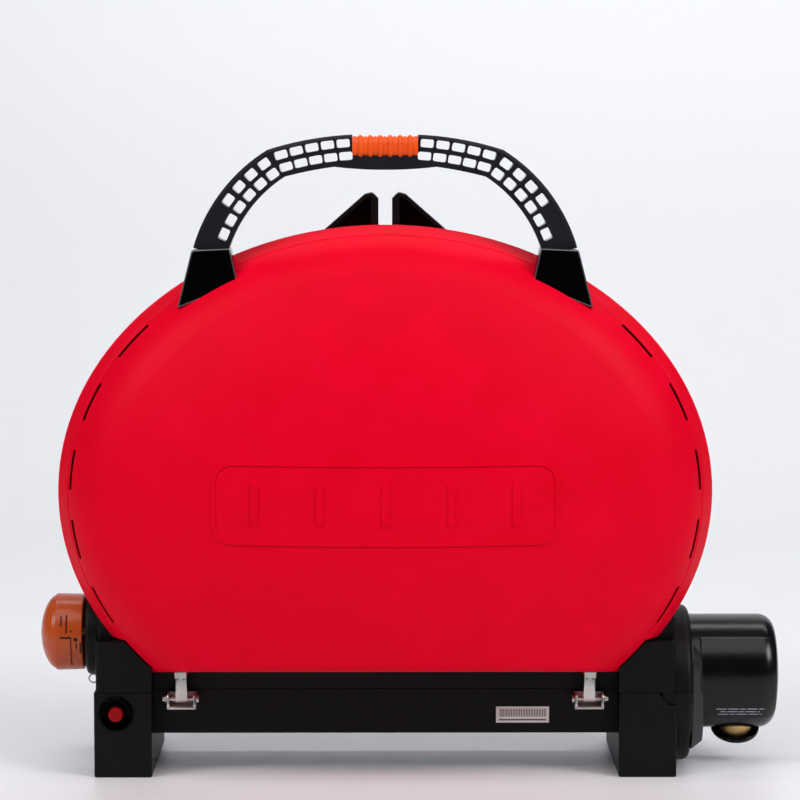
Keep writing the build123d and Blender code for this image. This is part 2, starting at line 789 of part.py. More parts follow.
for name, sign in side.items():
    x = sign * hinge_x
    with BuildPart() as leaf_plate:
        across = (x - leaf_width / 2, x + leaf_width / 2)
        block(across, (leaf_front, leaf_back), (hinge_z, boss_foot_z))
        block(across, (leaf_foot, leaf_back), (boss_foot_z - leaf, boss_foot_z))
        rod((across[0], hinge_y, hinge_z), (across[1], hinge_y, hinge_z), knuckle_radius)
        block(across, (leaf_front, hinge_y), (hinge_z, hinge_z + knuckle_radius))
        bore = ((x - ear_half, hinge_y, hinge_z), (x + ear_half, hinge_y, hinge_z))
        rod(*bore, pin_radius + fit, mode=Mode.SUBTRACT)
        rod((x, rivet_y, 0), (x, rivet_y, clear_of_all), rivet_radius, mode=Mode.SUBTRACT)
    save(leaf_plate, f"lid_hinge_leaf_{name}")
    with BuildPart() as bracket:
        across = (x - ear_half, x + ear_half)
        block(across, (bar_front - bracket_sheet, bar_front), (ear_foot, ear_top - 1))
        block(across, (ear_front, bar_front), (ear_foot, ear_foot + bracket_sheet))
        for start in (x - ear_half, x + ear_half - ear):
            with BuildSketch(Plane.YZ.offset(start)):
                with BuildLine():
                    Polyline(
                        (bar_front, ear_foot),
                        (bar_front, ear_top - 1),
                        (hinge_y + ear_slope, ear_top),
                        (hinge_y - ear_slope, ear_top),
                        (ear_front, ear_top - 2 * ear_slope),
                        (ear_front, ear_foot),
                        close=True,
                    )
                make_face()
            extrude(amount=ear)
        rod(*bore, pin_radius, mode=Mode.SUBTRACT)
        for step in (-screw_step, screw_step):
            start = (x + step, bar_front - 2 * bracket_sheet, ear_foot + screw_step)
            end = (x + step, bar_front, ear_foot + screw_step)
            rod(start, end, rivet_radius, mode=Mode.SUBTRACT)
    save(bracket, f"hinge_bracket_{name}")
    with BuildPart() as pin:
        start = (x - sign * pin_reach_in, hinge_y, hinge_z)
        rod(start, (x + sign * pin_reach_out, hinge_y, hinge_z), pin_radius)
        rod(start, (x - sign * (pin_reach_in - pin_head[0]), hinge_y, hinge_z), pin_head[1])
    save(pin, f"hinge_pin_{name}")
    with BuildPart() as clip:
        clip_x = x + sign * (ear_half + 2 * clip_wire + fit)
        with Locations(Location((clip_x, hinge_y, hinge_z), (0, 90, 0))):
            Torus(pin_radius + clip_wire - 0.1, clip_wire)
        add(pin.part, mode=Mode.SUBTRACT)
    save(clip, f"hinge_clip_{name}")

rivet_head = (1.4, 3.0)

with BuildPart() as lid_hinge_rivets:
    for x in (-hinge_x, hinge_x):
        under = boss_foot_z - leaf
        rod((x, rivet_y, under - rivet_head[0]), (x, rivet_y, under), rivet_head[1])
        rod((x, rivet_y, under), (x, rivet_y, boss_foot_z), rivet_radius)
save(lid_hinge_rivets, "lid_hinge_rivets")

small_head = (1.6, 2.8)

with BuildPart() as hinge_bracket_screws:
    for x in (-hinge_x, hinge_x):
        for step in (-screw_step, screw_step):
            seat = bar_front - bracket_sheet
            head = (x + step, seat - small_head[0], ear_foot + screw_step)
            rod(head, (x + step, seat, ear_foot + screw_step), small_head[1])
            rod(head, (x + step, bar_front, ear_foot + screw_step), rivet_radius)
save(hinge_bracket_screws, "hinge_bracket_screws")

# Gas control: bezel, valve, stem and knob along X

with BuildPart() as control_bezel:
    start = (-housing_half, control_y, control_z)
    rod(start, (bezel_front, control_y, control_z), bezel_radius)
    fillet(control_bezel.edges().filter_by(GeomType.CIRCLE).group_by(Axis.X)[0], 3)
    rod((knob_back, control_y, control_z), start, stem_hole, mode=Mode.SUBTRACT)
save(control_bezel, "control_bezel")

valve_back = -212.5
valve_front = -226.3
valve_radius = 11.0
valve_pipe = 5.0
stem_depth = 8.0
stem_seat = valve_front + stem_depth

with BuildPart() as valve_body:
    rod((valve_front, control_y, control_z), (valve_back, control_y, control_z), valve_radius)
    rod((valve_back, control_y, control_z), (venturi_start, control_y, control_z), valve_pipe)
    seat = (stem_seat, control_y, control_z)
    rod((valve_front, control_y, control_z), seat, stem_radius + stem_clearance, mode=Mode.SUBTRACT)
save(valve_body, "valve_body")

stem_tip = -257.0
stem_flat_end = -236.0
stem_flat = 2.0
stem_flat_room = 10.0

with BuildPart() as valve_stem:
    rod((stem_tip, control_y, control_z), (stem_seat, control_y, control_z), stem_radius)
    across = (control_y - stem_flat_room, control_y + stem_flat_room)
    above = (control_z + stem_flat, control_z + stem_flat_room)
    block((stem_tip, stem_flat_end), across, above, mode=Mode.SUBTRACT)
save(valve_stem, "valve_stem")

knob_plane = Plane(origin=(0, control_y, control_z), x_dir=(-1, 0, 0), z_dir=(0, 1, 0))
knob_draft = 0.6
cap_fullness = 0.55
cup_radius = 29.3
cup_end = -256.0
hub_radius = 7.0
hub_foot = -243.8
hub_overlap = 1.0
stem_end_gap = 0.4

with BuildPart() as control_knob:
    with BuildSketch(knob_plane):
        with BuildLine():
            Line((-knob_back, 0), (-knob_back, knob_radius - knob_draft))
            Line((-knob_back, knob_radius - knob_draft), (-knob_skirt, knob_radius))
            Bezier(
                (-knob_skirt, knob_radius),
                (-knob_skirt + cap_fullness * cap_depth, knob_radius),
                (-knob_end, cap_fullness * knob_radius),
                (-knob_end, 0),
            )
            Line((-knob_end, 0), (-knob_back, 0))
        make_face()
    revolve(axis=Axis((0, control_y, control_z), (1, 0, 0)))
    rod((cup_end, control_y, control_z), (knob_back, control_y, control_z), cup_radius, mode=Mode.SUBTRACT)
    hub_root = (cup_end - hub_overlap, control_y, control_z)
    rod(hub_root, (hub_foot, control_y, control_z), hub_radius)
    with BuildSketch(Plane.YZ.offset(stem_tip - knob_travel - stem_end_gap)):
        with Locations((control_y, control_z)):
            Circle(stem_radius + stem_clearance)
        with Locations((control_y, control_z + stem_flat + stem_clearance)):
            Rectangle(
                stem_flat_room,
                stem_flat_room,
                align=(Align.CENTER, Align.MIN),
                mode=Mode.SUBTRACT,
            )
    extrude(amount=clear_of_all, mode=Mode.SUBTRACT)
save(control_knob, "control_knob")

loop_x = -233.5
loop_y = 55.0
loop_z = 68.0
loop_radius = 3.4
loop_overlap = 1.8

with BuildPart() as retaining_loop:
    with BuildLine() as loop_path:
        top = loop_z + loop_radius
        Line((-housing_half, loop_y, top), (loop_x, loop_y, top))
    with BuildSketch(Plane(origin=loop_path.line @ 0, z_dir=(-1, 0, 0))):
        Circle(clip_wire)
    sweep()
    with Locations(Location((loop_x - loop_overlap, loop_y, loop_z), (90, 0, 0))):
        Torus(loop_radius, clip_wire)
save(retaining_loop, "retaining_loop")

# Igniter: bezel, body and push button along Y

igniter_body_radius = 9.4
igniter_length = 34.0
bore = button_radius + 0.08
bore_depth = 12.0

with BuildPart() as igniter_body:
    start = (igniter_x, foot_front, igniter_z)
    rod(start, (igniter_x, foot_front + igniter_length, igniter_z), igniter_body_radius)
    rod(start, (igniter_x, foot_front + bore_depth, igniter_z), bore, mode=Mode.SUBTRACT)
save(igniter_body, "igniter_body")

rim_side = 1.6
rim_front = 2.6
rim_slope = 1.2
dish_edge = 2.0
dish_thick = 1.0

with BuildPart() as igniter_bezel:
    with BuildSketch(Plane(origin=(igniter_x, 0, igniter_z), x_dir=(1, 0, 0), z_dir=(0, 0, 1))):
        with BuildLine():
            Polyline(
                (bore, foot_front),
                (igniter_radius, foot_front),
                (igniter_radius, foot_front - rim_side),
                (igniter_radius - rim_slope, foot_front - rim_front),
                (bore + dish_edge, foot_front - dish_thick),
                (bore, foot_front - dish_thick),
                close=True,
            )
        make_face()
    revolve(axis=Axis((igniter_x, 0, igniter_z), (0, 1, 0)))
save(igniter_bezel, "igniter_bezel")

button_front = foot_front - 5.5
button_back = foot_front + 6.0
button_round = 1.2

with BuildPart() as igniter_button:
    rod((igniter_x, button_front, igniter_z), (igniter_x, button_back, igniter_z), button_radius)
    fillet(igniter_button.edges().group_by(Axis.Y)[0], button_round)
save(igniter_button, "igniter_button")

lead_radius = 1.5
lead_run = (40.0, 95.0)
lead_drop = 20.0
lead_bend_z = 70.0
lead_tail = (20.0, 10.0)
lead_bends = (4, 30, 40, 8, 6)

with BuildPart() as ignition_lead:
    with BuildLine() as lead_path:
        FilletPolyline(
            (lead_x, electrode_back, lead_z),
            (lead_x, lead_y, lead_z),
            (lead_x - lead_run[0], lead_y, lead_z - lead_drop),
            (lead_x - lead_run[1], lead_y, lead_bend_z),
            (igniter_x + lead_tail[0], lead_y, igniter_z),
            (igniter_x, lead_y - lead_tail[1], igniter_z),
            (igniter_x, foot_front + igniter_length, igniter_z),
            radius=lead_bends,
        )
    with BuildSketch(Plane(origin=lead_path.line @ 0, z_dir=(0, 1, 0))):
        Circle(lead_radius)
    sweep()
save(ignition_lead, "ignition_lead")

# Gas line and regulator

gas_rise_x = -218.4
gas_step = 12.0
gas_bends = (14.0, 8.0)

with BuildPart() as gas_tube:
    with BuildLine() as gas_path:
        FilletPolyline(
            gas_end,
            (gas_rise_x, gas_y, gas_z),
            (gas_rise_x, control_y, gas_z + gas_step),
            (gas_rise_x, control_y, control_z - valve_radius),
            radius=gas_bends,
        )
    with BuildSketch(Plane(origin=gas_path.line @ 0, z_dir=(-1, 0, 0))):
        Circle(gas_radius)
    sweep()
save(gas_tube, "gas_tube")

ring_width = 86.6
ring_corner = 22.0
ring_y = 47.0
ring_z = 59.7
ring_end = 252.0
ring_chamfer = 8.0
ring_slope = 6.0

with BuildPart() as mount_collar:
    with BuildSketch(Plane.YZ.offset(flange_end)):
        with Locations((ring_y, ring_z)):
            RectangleRounded(ring_width, ring_width, ring_corner)
    extrude(amount=ring_end - flange_end)
    ring_face = mount_collar.faces().sort_by(Axis.X)[-1]
    chamfer(ring_face.edges(), ring_slope, ring_chamfer, reference=ring_face)
    rod(gas_hole, gas_end, gas_radius, mode=Mode.SUBTRACT)
save(mount_collar, "mount_collar")

cover_lift = 1.2
drum_corner = 13.0
bulge_angle = 10.0
drum_bulge = 3.0
cover_top_z = 107.0
cover_foot_z = 37.5
cover_back = 47.0
cover_end = 308.0
inlet_run = 45.0
inlet_room = 1.5
drum_wall_hole = 24.0
inlet_axis = Vector(0, -sin(radians(inlet_tilt)), cos(radians(inlet_tilt)))
inlet_foot = Vector(inlet_x, inlet_y, inlet_z)


def drum_form(grow):
    """The regulator housing's outer form: a drum with a domed end."""
    start = flange_end - grow
    end = drum_end + grow
    radius = drum_radius + grow
    with BuildPart() as form:
        with BuildSketch(Plane(origin=(0, drum_y, drum_z), x_dir=(1, 0, 0), z_dir=(0, -1, 0))):
            with BuildLine():
                corner_start = (end - drum_corner - drum_bulge, radius)
                corner = JernArc(corner_start, (1, 0), drum_corner, bulge_angle - 90)
                bulge_radius = (corner @ 1).Y / sin(radians(bulge_angle))
                crown = JernArc(corner @ 1, corner % 1, bulge_radius, -bulge_angle)
                Polyline(crown @ 1, (start, 0), (start, radius), corner_start)
            make_face()
        revolve(axis=Axis((0, drum_y, drum_z), (1, 0, 0)))
    return form.part


with BuildPart() as regulator_housing:
    add(drum_form(0))
    add(drum_form(-plastic), mode=Mode.SUBTRACT)
    add(mount_collar.part, mode=Mode.SUBTRACT)
    opening_start = inlet_foot - inlet_axis * drum_wall_hole
    opening_end = inlet_foot + inlet_axis * drum_wall_hole
    rod(opening_start, opening_end, collar_radius + inlet_room, mode=Mode.SUBTRACT)
    rod(gas_hole, gas_end, gas_radius, mode=Mode.SUBTRACT)
save(regulator_housing, "regulator_housing")

with BuildPart() as regulator_cover:
    add(drum_form(cover_lift))
    face = ((ring_end + 1, cover_end), (0, cover_back), (cover_foot_z, cover_top_z))
    block(*face, mode=Mode.INTERSECT)
    add(drum_form(0), mode=Mode.SUBTRACT)
    rod(opening_start, opening_end, collar_radius + inlet_room, mode=Mode.SUBTRACT)
save(regulator_cover, "regulator_cover")

body_radius = 24.0
body_rise = 8.0
body_ends = (260.0, 303.5)
body_neck = 6.0

with BuildPart() as regulator_body:
    body_z = drum_z + body_rise
    rod((body_ends[0], drum_y, body_z), (body_ends[1], drum_y, body_z), body_radius)
    rod(gas_end, (gas_end[0] + body_neck, gas_y, gas_z), gas_radius + 2)
    neck_y = (gas_y - body_neck, gas_y + body_neck)
    block((gas_end[0] - 1, gas_end[0] + body_rise), neck_y, (gas_z - body_neck, drum_z))
    rod(gas_hole, gas_end, gas_radius, mode=Mode.SUBTRACT)
save(regulator_body, "regulator_body")

with BuildPart() as regulator_inlet:
    rod(inlet_foot, inlet_foot + inlet_axis * inlet_run, inlet_radius)
    rod(inlet_foot, inlet_foot + inlet_axis * thread_depth, thread_radius, mode=Mode.SUBTRACT)
    add(regulator_body.part, mode=Mode.SUBTRACT)
save(regulator_inlet, "regulator_inlet")

collar_ends = (1.0, 5.0)

with BuildPart() as inlet_collar:
    collar_foot = inlet_foot + inlet_axis * collar_ends[0]
    rod(collar_foot, inlet_foot + inlet_axis * collar_ends[1], collar_radius)
    fillet(inlet_collar.edges().filter_by(GeomType.CIRCLE), 1)
    add(regulator_inlet.part, mode=Mode.SUBTRACT)
    rod(inlet_foot, inlet_foot + inlet_axis * inlet_run, inlet_radius, mode=Mode.SUBTRACT)
save(inlet_collar, "inlet_collar")
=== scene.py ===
import json
import math

import bmesh
import bpy
from mathutils import Matrix, Vector


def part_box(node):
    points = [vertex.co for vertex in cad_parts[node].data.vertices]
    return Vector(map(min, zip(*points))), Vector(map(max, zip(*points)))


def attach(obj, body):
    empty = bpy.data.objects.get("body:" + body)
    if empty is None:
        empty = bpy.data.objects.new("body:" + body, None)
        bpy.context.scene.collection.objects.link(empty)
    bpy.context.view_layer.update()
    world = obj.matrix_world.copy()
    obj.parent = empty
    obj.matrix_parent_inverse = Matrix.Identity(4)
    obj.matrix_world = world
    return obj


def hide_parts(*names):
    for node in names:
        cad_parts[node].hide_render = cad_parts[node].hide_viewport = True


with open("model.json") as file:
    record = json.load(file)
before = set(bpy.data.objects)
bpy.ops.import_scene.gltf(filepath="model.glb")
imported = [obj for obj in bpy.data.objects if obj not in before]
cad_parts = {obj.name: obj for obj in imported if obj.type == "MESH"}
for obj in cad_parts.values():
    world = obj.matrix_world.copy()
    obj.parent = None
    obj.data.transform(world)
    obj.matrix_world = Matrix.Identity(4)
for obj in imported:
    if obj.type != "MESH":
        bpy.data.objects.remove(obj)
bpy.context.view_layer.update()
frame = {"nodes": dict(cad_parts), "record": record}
mm = 0.001


# Materials

def hexColour(code):
    parts = [int(code[i:i + 2], 16) / 255 for i in (1, 3, 5)]
    linear = [c / 12.92 if c <= 0.04045 else ((c + 0.055) / 1.055) ** 2.4 for c in parts]
    return (*linear, 1.0)


def newMaterial(name):
    material = bpy.data.materials.new(name)
    material.use_nodes = True
    tree = material.node_tree
    tree.nodes.clear()
    output = tree.nodes.new("ShaderNodeOutputMaterial")
    shader = tree.nodes.new("ShaderNodeBsdfPrincipled")
    tree.links.new(shader.outputs[0], output.inputs["Surface"])
    return material, tree, shader


def addNode(tree, kind, settings=None, links=None):
    node = tree.nodes.new(kind)
    for key, value in (settings or {}).items():
        if key in node.inputs.keys():
            node.inputs[key].default_value = value
        else:
            setattr(node, key, value)
    for key, socket in (links or {}).items():
        tree.links.new(socket, node.inputs[key])
    return node


def perMetre(sizeMm):
    return 1000.0 / sizeMm  # a noise texture's scale for a pattern of that size


def surfaceNoise(tree, sizeMm, detail=3.0):
    place = addNode(tree, "ShaderNodeTexCoord")
    return addNode(tree, "ShaderNodeTexNoise", {"Scale": perMetre(sizeMm), "Detail": detail},
                   {"Vector": place.outputs["Object"]})


def spread(tree, socket, low, high):
    return addNode(tree, "ShaderNodeMapRange", {"To Min": low, "To Max": high}, {"Value": socket}).outputs[0]


def tint(tree, socket, dark, light):
    ramp = addNode(tree, "ShaderNodeValToRGB", links={"Fac": socket})
    ramp.color_ramp.elements[0].position = 0.3
    ramp.color_ramp.elements[1].position = 0.7
    ramp.color_ramp.elements[0].color = hexColour(dark)
    ramp.color_ramp.elements[1].color = hexColour(light)
    return ramp.outputs["Color"]


def moulded(name, dark, light, grainMm, relief, rough, metallic=0.0, coat=0.0, shine=0.5):
    material, tree, shader = newMaterial(name)
    shader.inputs["Metallic"].default_value = metallic
    shader.inputs["Coat Weight"].default_value = coat
    shader.inputs["Specular IOR Level"].default_value = shine
    shader.inputs["Coat Roughness"].default_value = 0.12
    cloud = surfaceNoise(tree, grainMm * 40, 4.0)
    grain = surfaceNoise(tree, grainMm, 2.0)
    tree.links.new(tint(tree, cloud.outputs["Fac"], dark, light), shader.inputs["Base Color"])
    tree.links.new(spread(tree, cloud.outputs["Fac"], rough[0], rough[1]), shader.inputs["Roughness"])
    bump = addNode(tree, "ShaderNodeBump", {"Strength": 0.6, "Distance": relief * mm},
                   {"Height": grain.outputs["Fac"]})
    tree.links.new(bump.outputs["Normal"], shader.inputs["Normal"])
    return material


redPowderCoat = moulded("red_powder_coat_on_aluminium", "#DC001F", "#E30025", 0.9, 0.012, (0.42, 0.5), shine=0.05)
blackAbs = moulded("textured_black_abs", "#050304", "#080607", 0.7, 0.05, (0.42, 0.55), shine=0.17)
handleNylon = moulded("glass_filled_nylon", "#131317", "#19191D", 0.6, 0.02, (0.24, 0.32), shine=0.6)
glossAbs = moulded("polished_black_abs", "#000000", "#010001", 1.4, 0.003, (0.08, 0.13), shine=0.2)
# lighter grey for the sockets' bevelled edges: a painted highlight, not the plastic's own colour
socketHighlightAbs = moulded("painted_highlight_socket_edge", "#3C3C42", "#46464C", 1.4, 0.003, (0.12, 0.18), shine=1.0)
# lighter grey for the regulator panel's bevelled rim: a painted highlight, not rubbing or wear
panelHighlightAbs = moulded("painted_highlight_panel_rim", "#232327", "#2C2C30", 0.5, 0.01, (0.2, 0.28), shine=0.6)
# lighter copy of the black plastic for the mount collar: painted highlight standing in for light on its chamfer
collarHighlightAbs = moulded("black_abs_lightened_painted_highlight", "#17171A", "#202024", 0.9, 0.08, (0.32, 0.42), shine=0.5)
bezelAbs = moulded("mirror_black_abs", "#000000", "#010001", 1.0, 0.003, (0.1, 0.14), shine=0.03)
drumAbs = moulded("satin_black_abs", "#020203", "#040405", 0.5, 0.02, (0.2, 0.28), shine=0.3)
gripRubber = moulded("orange_grip_rubber", "#E8500C", "#F05A12", 0.4, 0.03, (0.4, 0.52), shine=0.3)
knobPlastic = moulded("burnt_orange_polypropylene", "#B04410", "#BC4E16", 0.5, 0.02, (0.24, 0.32), shine=0.4)
buttonPlastic = moulded("polished_red_abs", "#860205", "#920307", 1.0, 0.003, (0.15, 0.22), shine=0.12)
castIron = moulded("enamelled_cast_iron", "#141314", "#201E1E", 1.2, 0.12, (0.45, 0.65))
zincSteel = moulded("zinc_plated_steel", "#BDBBB8", "#E0DEDA", 0.5, 0.01, (0.28, 0.45), metallic=1.0)
burnerSteel = moulded("stainless_burner_steel", "#77716A", "#9A948C", 0.4, 0.01, (0.35, 0.5), metallic=1.0)
turnedBrass = moulded("turned_brass", "#D8AE70", "#ECC888", 0.4, 0.008, (0.4, 0.5), metallic=1.0)
whiteCeramic = moulded("glazed_ceramic", "#DAD6CC", "#E6E2D8", 1.0, 0.01, (0.15, 0.25))
leadSilicone = moulded("black_silicone_sleeve", "#101010", "#181818", 0.4, 0.02, (0.5, 0.6))
markInk = moulded("black_pad_print", "#0A0808", "#100C0C", 0.5, 0.002, (0.4, 0.5), shine=0.2)
whiteInk = moulded("pale_pad_print", "#B8C0CC", "#C6CCD6", 0.5, 0.002, (0.4, 0.5), shine=0.2)
labelFilm = moulded("printed_label_film", "#D8D8D6", "#E4E4E2", 0.6, 0.004, (0.3, 0.4))

# Label: even upright bars across most of the film, over a thin plain line
labelBars = {"pitch": 1.3, "share": 0.5, "margin": 2.2, "foot": 0.38, "head": 0.86, "lineFoot": 0.14, "lineHead": 0.22,
             "ink": "#1A1818"}


def within(tree, socket, low, high):
    over = addNode(tree, "ShaderNodeMath", {"operation": "GREATER_THAN"}, {0: socket}).outputs[0]
    under = addNode(tree, "ShaderNodeMath", {"operation": "LESS_THAN"}, {0: socket}).outputs[0]
    over.node.inputs[1].default_value = low
    under.node.inputs[1].default_value = high
    return addNode(tree, "ShaderNodeMath", {"operation": "MULTIPLY"}, {0: over, 1: under}).outputs[0]


def printLabel():
    tree = labelFilm.node_tree
    shader = next(n for n in tree.nodes if n.type == "BSDF_PRINCIPLED")
    low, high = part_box("label_plate")
    tall, margin = high.z - low.z, labelBars["margin"] * mm
    place = addNode(tree, "ShaderNodeTexCoord")
    axes = addNode(tree, "ShaderNodeSeparateXYZ", links={0: place.outputs["Object"]})
    scaled = addNode(tree, "ShaderNodeMath", {"operation": "MULTIPLY"}, {0: axes.outputs["X"]})
    scaled.inputs[1].default_value = perMetre(labelBars["pitch"])
    share = addNode(tree, "ShaderNodeMath", {"operation": "FRACT"}, {0: scaled.outputs[0]})
    stripes = within(tree, share.outputs[0], 0.0, labelBars["share"])
    rows = within(tree, axes.outputs["Z"], low.z + labelBars["foot"] * tall, low.z + labelBars["head"] * tall)
    line = within(tree, axes.outputs["Z"], low.z + labelBars["lineFoot"] * tall,
                  low.z + labelBars["lineHead"] * tall)
    width = within(tree, axes.outputs["X"], low.x + margin, high.x - margin)
    bars = addNode(tree, "ShaderNodeMath", {"operation": "MULTIPLY"}, {0: stripes, 1: rows}).outputs[0]
    marks = addNode(tree, "ShaderNodeMath", {"operation": "MAXIMUM"}, {0: bars, 1: line}).outputs[0]
    inked = addNode(tree, "ShaderNodeMath", {"operation": "MULTIPLY"}, {0: marks, 1: width}).outputs[0]
    film = shader.inputs["Base Color"].links[0].from_socket
    mix = addNode(tree, "ShaderNodeMix", {"data_type": "RGBA"}, {"Factor": inked})
    tree.links.new(film, mix.inputs["A"])
    mix.inputs["B"].default_value = hexColour(labelBars["ink"])
    tree.links.new(mix.outputs["Result"], shader.inputs["Base Color"])


printLabel()

finishOf = {
    "red_coat": redPowderCoat, "black_plastic": blackAbs, "gloss_black": glossAbs,
    "orange_grip": gripRubber, "orange_knob": knobPlastic, "red_button": buttonPlastic,
    "iron": castIron, "zinc": zincSteel, "burner_steel": burnerSteel, "brass": turnedBrass,
    "ceramic": whiteCeramic, "lead_rubber": leadSilicone, "label": labelFilm,
}
# mount_collar gets the lighter grey copy of the black plastic as a painted highlight; the other entries are the parts'
# own finishes
ownFinish = {"handle_frame": handleNylon, "regulator_housing": drumAbs, "regulator_cover": drumAbs,
             "mount_collar": collarHighlightAbs, "igniter_bezel": bezelAbs}

for part in frame["record"]["subparts"]:
    node = frame["nodes"][part["node"]]
    node.data.materials.clear()
    node.data.materials.append(ownFinish.get(part["node"], finishOf[part["material_slot"]]))
print("CAD nodes painted")


# Drawing helpers: pieces are drawn in millimetres from the shell's centre line and then set in the frame

shellLow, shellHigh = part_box("lid_shell")
drawnFrom = Vector(((shellLow.x + shellHigh.x) / 2, shellHigh.y + 0.5 * mm, 0))


def finishPiece(name, bm, material, body, stands=(), sharpAt=32):
    bmesh.ops.remove_doubles(bm, verts=bm.verts, dist=0.001)
    bmesh.ops.recalc_face_normals(bm, faces=bm.faces)
    bmesh.ops.scale(bm, verts=bm.verts, vec=(mm, mm, mm))
    bmesh.ops.translate(bm, verts=bm.verts, vec=drawnFrom)
    mesh = bpy.data.meshes.new(name)
    bm.to_mesh(mesh)
    bm.free()
    mesh.materials.append(material)
    for face in mesh.polygons:
        face.use_smooth = True
    mesh.set_sharp_from_angle(angle=math.radians(sharpAt))
    piece = bpy.data.objects.new(name, mesh)
    bpy.context.scene.collection.objects.link(piece)
    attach(piece, body)
    if stands:
        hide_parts(*stands)
    return piece


def wire(bm, points):
    verts = [bm.verts.new(point) for point in points]
    return verts, [bm.edges.new(pair) for pair in zip(verts, verts[1:])]


def turn(bm, points, centre, axis, steps=96, sweep=360.0):
    verts, edges = wire(bm, points)
    bmesh.ops.spin(bm, geom=verts + edges, cent=centre, axis=axis, angle=math.radians(sweep), steps=steps,
                   use_merge=sweep == 360.0)


def plate(bm, outline, depth, rim=0.0, segments=3):
    verts, edges = wire(bm, outline)
    edges.append(bm.edges.new((verts[-1], verts[0])))
    face = bmesh.ops.contextual_create(bm, geom=edges)["faces"]
    grown = bmesh.ops.extrude_face_region(bm, geom=face)["geom"]
    moved = [g for g in grown if isinstance(g, bmesh.types.BMVert)]
    bmesh.ops.translate(bm, verts=moved, vec=depth)
    if rim:
        sharp = list({e for v in verts + moved for e in v.link_edges})
        bmesh.ops.bevel(bm, geom=sharp, offset=rim, offset_type="OFFSET", segments=segments, profile=0.5,
                        affect="EDGES", material=-1)


def arc(centre, radius, start, end, steps):
    angles = [math.radians(start + (end - start) * i / steps) for i in range(steps + 1)]
    return [(centre[0] + radius * math.cos(a), centre[1] + radius * math.sin(a)) for a in angles]


# Control knob: a turned cap with a soft edge, and plain setting marks printed on its side

knob = {"y": 38.0, "z": 109.0, "back": -240.0, "skirt": -262.0, "backRadius": 30.0, "radius": 30.6,
        "edge": 1.6, "capRadius": 43.0, "full": 1.15, "step": 1.2, "cup": 27.6, "cupEnd": -257.0}


def makeKnob():
    axisPoint = (0, knob["y"], knob["z"])
    capCentre = knob["skirt"] + math.sqrt(knob["capRadius"] ** 2 - knob["radius"] ** 2)
    depth = knob["skirt"] - (capCentre - knob["capRadius"]) - 0.1
    cap = [(knob["skirt"] - depth * math.cos(a) ** knob["full"], (knob["radius"] - knob["step"]) * math.sin(a))
           for a in (math.radians(90 * i / 24) for i in range(25))]
    edge = [(knob["skirt"] - 0.5, knob["radius"] - 0.9), (knob["skirt"] - 0.35, knob["radius"] - 0.4),
            (knob["skirt"] + 0.2, knob["radius"] - 0.08), (knob["skirt"] + knob["edge"], knob["radius"])]
    rim = [(knob["back"] - 0.6, knob["backRadius"] + 0.05), (knob["back"], knob["backRadius"] - 0.6),
           (knob["back"], knob["cup"]), (knob["cupEnd"], knob["cup"]), (knob["cupEnd"], 0)]
    outline = [(x, 0, r) for x, r in cap + edge + rim]
    bm = bmesh.new()
    turn(bm, [(x, knob["y"], knob["z"] + r) for x, _, r in outline], axisPoint, (1, 0, 0), 128)
    finishPiece("control_knob_cap", bm, knobPlastic, "control_cap", ("control_knob",), 40)


knobMarks = {"line": 0.8, "proud": 0.04, "corner": (-248.9, -0.9), "lineEnd": -257.6, "lineFoot": -53.0,
             "dot": (-245.0, -3.6), "dotRadius": 1.5, "dash": 0.55}


def sideStrip(bm, x, angles, radius=None):
    reach = (radius or knob["radius"]) + knobMarks["proud"]
    start = math.radians(angles[0])
    spot = (knob["y"] - reach * math.cos(start), knob["z"] + reach * math.sin(start))
    steps = max(1, int(abs(angles[1] - angles[0]) / 2))
    turn(bm, [(x[0], *spot), (x[1], *spot)], (0, knob["y"], knob["z"]), (-1, 0, 0), steps, angles[1] - angles[0])


def makeKnobMarks():
    bm = bmesh.new()
    half = knobMarks["line"] / 2
    x, top = knobMarks["corner"]
    halfAngle = math.degrees(half / knob["radius"])
    sideStrip(bm, (knobMarks["lineEnd"], x + half), (top + 1.6 * halfAngle, top - 1.6 * halfAngle))
    sideStrip(bm, (x - half, x + half), (top, knobMarks["lineFoot"]))
    for i in range(9):
        across = 4.6 * (i - 4) / 4.5
        tall = math.sqrt(max(0.0, 1 - (across / 4.65) ** 2))
        place = knobMarks["dot"][0] + across * knobMarks["dotRadius"] / 4.65
        reach = math.degrees(knobMarks["dotRadius"] * tall / knob["radius"])
        sideStrip(bm, (place - 0.17, place + 0.17), (knobMarks["dot"][1] + reach, knobMarks["dot"][1] - reach))
    for i in range(6):
        sideStrip(bm, (-249.6 + 0.16 * i, -248.2 - 0.16 * i), (8.6 + 0.7 * i, 7.9 + 0.7 * i))
    for x, start, end in ((-256.6, 32.0, 16.0), (-252.4, 34.0, 6.0), (-244.6, -9.5, -18.0), (-241.4, -8.0, -26.0)):
        sideStrip(bm, (x - knobMarks["dash"], x + knobMarks["dash"]), (start, end), 30.35 if x > -246 else 30.55)
    finishPiece("knob_setting_marks", bm, markInk, "control_cap")


# Grip: a soft sleeve with narrow ribs moulded round it, each between two fine grooves

grip = {"half": 25.2, "back": -8.2, "front": -28.2, "foot": 487.6, "top": 504.3, "round": 5.5,
        "pitch": 7.65, "rib": 1.15, "ribHalf": 1.5, "groove": 0.55, "grooveHalf": 0.9, "ribs": 6, "rings": 168}


def ribLift(x):
    off = (x / grip["pitch"] + grip["ribs"] / 2) % 1.0 * grip["pitch"] - grip["pitch"] / 2
    if abs(x) > grip["ribs"] * grip["pitch"] / 2:
        return 0.0
    if abs(off) < grip["ribHalf"]:
        return grip["rib"] * math.cos(math.pi / 2 * off / grip["ribHalf"]) ** 0.6
    past = (abs(off) - grip["ribHalf"] - grip["grooveHalf"]) / grip["grooveHalf"]
    return -grip["groove"] * math.cos(math.pi / 2 * past) if abs(past) < 1 else 0.0


